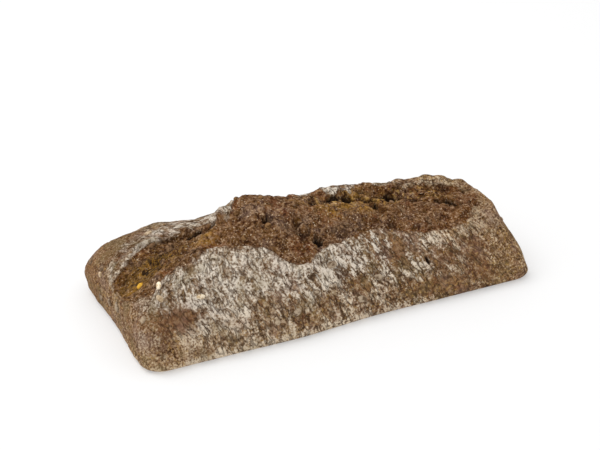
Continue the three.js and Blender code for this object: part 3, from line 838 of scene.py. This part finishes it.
# Black pits of painted shade in the groove.
pit_shade = groove_share * bread.between(0.43, 0.37, bread.noise(place, scale=290, detail=2))
baked_crumb = bread.blend(pit_shade, baked_crumb, PIT_SHADE)
# Painted shade, near black, in the holes, the slit and the knob's ring.
baked = bread.blend(bread.attribute("shade_in_hollows"), bread.blend(is_crumb, crust, baked_crumb), HOLLOW_SHADE)
bread.plug(bread.shader.inputs["Base Color"], baked)

off_crumb = bread.between(1.0, 0.5, is_crumb)
lift = grit * 0.4 + fine_grit * 0.2 + (stroke * 0.4 - crack * 0.3) * off_crumb
bump = {"Strength": 0.9, "Distance": 0.0016, "Height": lift}
bread.plug(bread.shader.inputs["Normal"], bread.node("ShaderNodeBump", {}, bump, "Normal"))

loaf_mesh.materials.append(bread.material)
loaf = bpy.data.objects.new("loaf", loaf_mesh)
bpy.context.collection.objects.link(loaf)
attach(loaf, "root")
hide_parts("roll")

# Grains. Golden grits, pale kernels and flat bran flakes, kneaded into the dough and pressed into its skin.
# Each is baked fast to the loaf, partly sunk into crust or crumb, and either clean or coated by the dough.
# Kinds are (name, half sizes, share sunk), in millimetres.
FLAKE = 0
GRIT = 1
KERNEL = 2
GRAIN_KINDS = [("bran_flakes", (1.9, 1.3, 0.6), 0.4), ("golden_grits", (1.25, 1.15, 1.05), 0.5),
               ("pale_kernels", (1.9, 1.05, 0.85), 0.5)]

# Some stand in set places on the loaf's box, as (kind, u, v, q, size, share clean), each spun a radian
# further than the last. The rest are spread evenly, by steps, over the top and the walls.
SET_GRAINS = [(GRIT, -0.905, -0.44, 1, 1.2, 1), (KERNEL, -0.935, -1, 0.93, 0.9, 1),
              (FLAKE, -0.902, -1, 0.807, 0.9, 0.6), (KERNEL, -0.698, -1, 0.697, 0.9, 0.75),
              (FLAKE, -1, -0.94, 0.78, 0.9, 0.2), (FLAKE, -1, 0.45, 0.782, 0.9, 0.7),
              (FLAKE, -0.8, 1, 0.93, 0.9, 0.6), (GRIT, -0.92, -1, 0.311, 0.9, 0.05),
              (FLAKE, -0.377, -1, 0.395, 0.9, 0.2)]
SPREAD_CLEAN = 0.05
TOP_GRAINS = 22
TOP_MARGIN = 0.88
WALL_GRAINS = 20
WALL_LOW = 0.3
WALL_SPAN = 0.62
SIZE_SPREAD = 0.3
STEP_A = 0.7548776662466927
STEP_B = 0.5698402909980532
STEP_C = 0.6180339887498949


def spread_share(i, step):
    """A share from 0 to 1 that fills its range evenly as i grows."""
    return (0.5 + i * step) % 1


def around_walls(share):
    """A point of the box's outline, from a share of the way round that starts at the front's left corner."""
    length = LEFT_FOOT[0][1] + RIGHT_FOOT
    width = FRONT_FOOT[0][1] + BACK_FOOT[0][1]
    on_front = share * 2 * (length + width)
    on_right = on_front - length
    on_back = on_right - width
    if on_front < length:
        return 2 * on_front / length - 1, -1
    if on_right < width:
        return 1, 2 * on_right / width - 1
    if on_back < length:
        return 1 - 2 * on_back / length, 1
    return -1, 1 - 2 * (on_back - length) / width


grains = []
for i, (kind, u, v, q, size, clean) in enumerate(SET_GRAINS):
    grains.append((kind, u, v, q, float(i), size, clean))
for i in range(1, TOP_GRAINS + WALL_GRAINS + 1):
    a = spread_share(i, STEP_A)
    b = spread_share(i, STEP_B)
    spin = 2 * np.pi * spread_share(i, STEP_C)
    size = 1 + SIZE_SPREAD * (spread_share(i, STEP_C + STEP_B) - 0.5)
    kind = FLAKE if i % 2 == 0 else GRIT if i % 4 == 1 else KERNEL
    if i <= TOP_GRAINS:
        spot = (TOP_MARGIN * (2 * a - 1), TOP_MARGIN * (2 * b - 1), 1)
    else:
        spot = (*around_walls(a), WALL_LOW + WALL_SPAN * b)
    grains.append((kind, *spot, spin, size, SPREAD_CLEAN))

final_facing = facing(loaf_mesh)
loaf_box = np.stack([loaf_u, loaf_v, loaf_q], -1)


def skin_point(u, v, q):
    """The loaf's surface, relief included, nearest a point of its box, its direction, and the flour there."""
    nearest = np.argmin(np.abs(loaf_box - (u, v, q)).sum(-1))
    return points[nearest] - MIDDLE, final_facing[nearest], (1 - crumb[nearest]) * flour[nearest]


PEBBLE_DETAIL = 3
PEBBLE_LEAST = 0.86
PEBBLE_UNEVEN = 0.28
PEBBLE_CELL = 0.7
PEBBLE_SHIFT = 40
PEBBLE_SEED = 100


def pebble(seed):
    """A ball of triangles with an uneven skin."""
    ball = bmesh.new()
    bmesh.ops.create_icosphere(ball, subdivisions=PEBBLE_DETAIL, radius=1)
    corners = np.array([corner.co for corner in ball.verts])
    faces = np.array([[corner.index for corner in face.verts] for face in ball.faces])
    ball.free()
    bumps = cell_noise(corners + PEBBLE_SHIFT, PEBBLE_CELL, seed)
    corners *= (PEBBLE_LEAST + PEBBLE_UNEVEN * bumps)[:, None]
    return corners, faces


def lay(corners, sizes, spot, direction, spin, rise):
    """Stretches a pebble, spins it, turns it flat onto the surface and sinks it in."""
    tip = Vector((0, 0, 1)).rotation_difference(Vector(direction)).to_matrix()
    turn = tip @ Matrix.Rotation(spin, 3, "Z")
    return (corners * sizes) @ np.array(turn).T + spot + direction * rise


# A clean grain shows its own colours, and a coated one those of dough or, on floury crust, of flour.
GRAIN_COLOURS = [(paint(176, 148, 112), paint(228, 204, 170)), (paint(188, 132, 36), paint(228, 178, 66)),
                 (paint(200, 172, 132), paint(250, 234, 206))]
COATED = (paint(62, 38, 20), paint(128, 96, 66))
DUSTED = (paint(92, 72, 54), paint(168, 150, 128))
for kind, (name, half, sunk) in enumerate(GRAIN_KINDS):
    all_corners = []
    all_faces = []
    clean_shares = []
    dusted_shares = []
    count = 0
    for i, (grain_kind, u, v, q, spin, size, clean) in enumerate(grains):
        if grain_kind != kind:
            continue
        corners, faces = pebble(PEBBLE_SEED + i)
        spot, direction, flour_there = skin_point(u, v, q)
        sizes = np.array(half) * size
        all_corners.append(lay(corners, sizes, spot, direction, spin, sizes[2] * (1 - 2 * sunk)))
        all_faces.append(faces + count)
        clean_shares += [clean] * len(corners)
        dusted_shares += [flour_there] * len(corners)
        count += len(corners)
    grain_mesh = bpy.data.meshes.new(name)
    grain_corners = np.concatenate(all_corners) / 1000
    grain_mesh.from_pydata(grain_corners.tolist(), [], np.concatenate(all_faces).tolist())
    grain_mesh.shade_smooth()
    mark(grain_mesh, "clean", clean_shares)
    mark(grain_mesh, "dusted", dusted_shares)
    husk = Finish(name, roughness=0.7)
    husk_place = husk.node("ShaderNodeTexCoord", out="Object")
    mottle = husk.between(0.41, 0.59, husk.noise(husk_place, scale=800, detail=3))
    powder = husk.between(0.4, 0.6, husk.noise(husk_place, scale=560, detail=3))
    bare = husk.blend(mottle, *GRAIN_COLOURS[kind])
    coated = husk.blend(mottle, *COATED)
    dusty = husk.blend(powder, *DUSTED)
    coated = husk.blend(husk.between(0.1, 0.5, husk.attribute("dusted")), coated, dusty)
    husk.plug(husk.shader.inputs["Base Color"], husk.blend(husk.attribute("clean"), coated, bare))
    grain_mesh.materials.append(husk.material)
    piece = bpy.data.objects.new(name, grain_mesh)
    bpy.context.collection.objects.link(piece)
    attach(piece, "root")

# Floor and light. A pale, matt studio table that glows faintly from below, so that shadows on it stay light.
# One large soft lamp hangs behind the roll's left, a weak one stands in front, and the room is white.
FLOOR_HALF = 4
FLOOR_GREY = 0.6
FLOOR_GLOW = 0.33
ROOM_LIGHT = 0.84
LAMP_AIM = (0, 0, 0.02)
floor_mesh = bpy.data.meshes.new("floor")
floor_corners = [(-FLOOR_HALF, -FLOOR_HALF, 0), (FLOOR_HALF, -FLOOR_HALF, 0),
                 (FLOOR_HALF, FLOOR_HALF, 0), (-FLOOR_HALF, FLOOR_HALF, 0)]
floor_mesh.from_pydata(floor_corners, [], [(0, 1, 2, 3)])
table = Finish("pale_table", roughness=0.9)
table.shader.inputs["Base Color"].default_value = (FLOOR_GREY, FLOOR_GREY, FLOOR_GREY, 1)
table.shader.inputs["Emission Color"].default_value = (1, 1, 1, 1)
table.shader.inputs["Emission Strength"].default_value = FLOOR_GLOW
floor_mesh.materials.append(table.material)
floor = bpy.data.objects.new("floor", floor_mesh)
bpy.context.collection.objects.link(floor)

scene = bpy.context.scene
scene.view_settings.view_transform = "Standard"
world = bpy.data.worlds.new("white_room")
world.use_nodes = True
room = world.node_tree.nodes["Background"]
room.inputs["Color"].default_value = (1, 1, 1, 1)
room.inputs["Strength"].default_value = ROOM_LIGHT
scene.world = world


def soft_lamp(name, place, size, watts):
    """A square lamp aimed at the roll."""
    lamp = bpy.data.lights.new(name, "AREA")
    lamp.size = size
    lamp.energy = watts
    hung = bpy.data.objects.new(name, lamp)
    hung.location = place
    hung.rotation_euler = (Vector(LAMP_AIM) - Vector(place)).to_track_quat("-Z", "Y").to_euler()
    bpy.context.collection.objects.link(hung)


soft_lamp("key_lamp", (-0.38, 0.3, 0.92), size=0.65, watts=4.3)
soft_lamp("front_lamp", (-0.35, -0.9, 0.75), size=0.9, watts=1)

# Camera. It stands to the left of the roll's front and looks down on it, far off with a long lens.
# Its aim is in the loaf's millimetres.
TURN = np.radians(25.4)
TILT = np.radians(29)
AIM = np.array([2.52, 12.85, 17.37])
AWAY = 650.9
SENSOR_WIDTH = 36
LENS = 96
back = np.array([-np.sin(TURN) * np.cos(TILT), -np.cos(TURN) * np.cos(TILT), np.sin(TILT)])
camera_data = bpy.data.cameras.new("camera")
camera_data.sensor_width = SENSOR_WIDTH
camera_data.lens = LENS
camera = bpy.data.objects.new("camera", camera_data)
camera.location = in_metres(AIM + back * AWAY).tolist()
camera.rotation_euler = Vector((-back).tolist()).to_track_quat("-Z", "Y").to_euler()
bpy.context.collection.objects.link(camera)
scene.camera = camera
